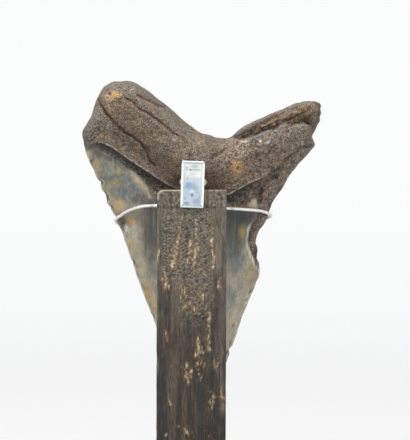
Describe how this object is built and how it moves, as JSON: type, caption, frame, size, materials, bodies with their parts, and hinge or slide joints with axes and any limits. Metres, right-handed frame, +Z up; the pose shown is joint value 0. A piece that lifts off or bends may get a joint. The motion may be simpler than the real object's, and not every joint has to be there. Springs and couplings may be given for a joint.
{
  "type": "fossil shark tooth on a display stand",
  "caption": "Large triangular fossil shark tooth, root up, held on a flat wooden post by a small metal plate and a wire, on a plain wooden base.",
  "frame": {"origin": "middle of the base's underside", "axes": "+Z up, -Y towards the post and the tooth's inner face, +Y towards the tooth's outer face, +X to the right as seen from -Y"},
  "size_m": [0.1074, 0.068, 0.2161],
  "materials": {
    "fossil": "matt porous root and satin mottled enamel",
    "post_wood": "dark, worn, with pale flecks along the grain",
    "plate_metal": "polished, with a light tarnish",
    "spacer_metal": "satin",
    "wire_metal": "bright satin",
    "base_wood": "dark, plain"
  },
  "bodies": {
    "root": {"tooth": "fossil", "post": "post_wood", "plate": "plate_metal", "spacer": "spacer_metal", "wire": "wire_metal", "base": "base_wood"}
  },
  "joints": []
}
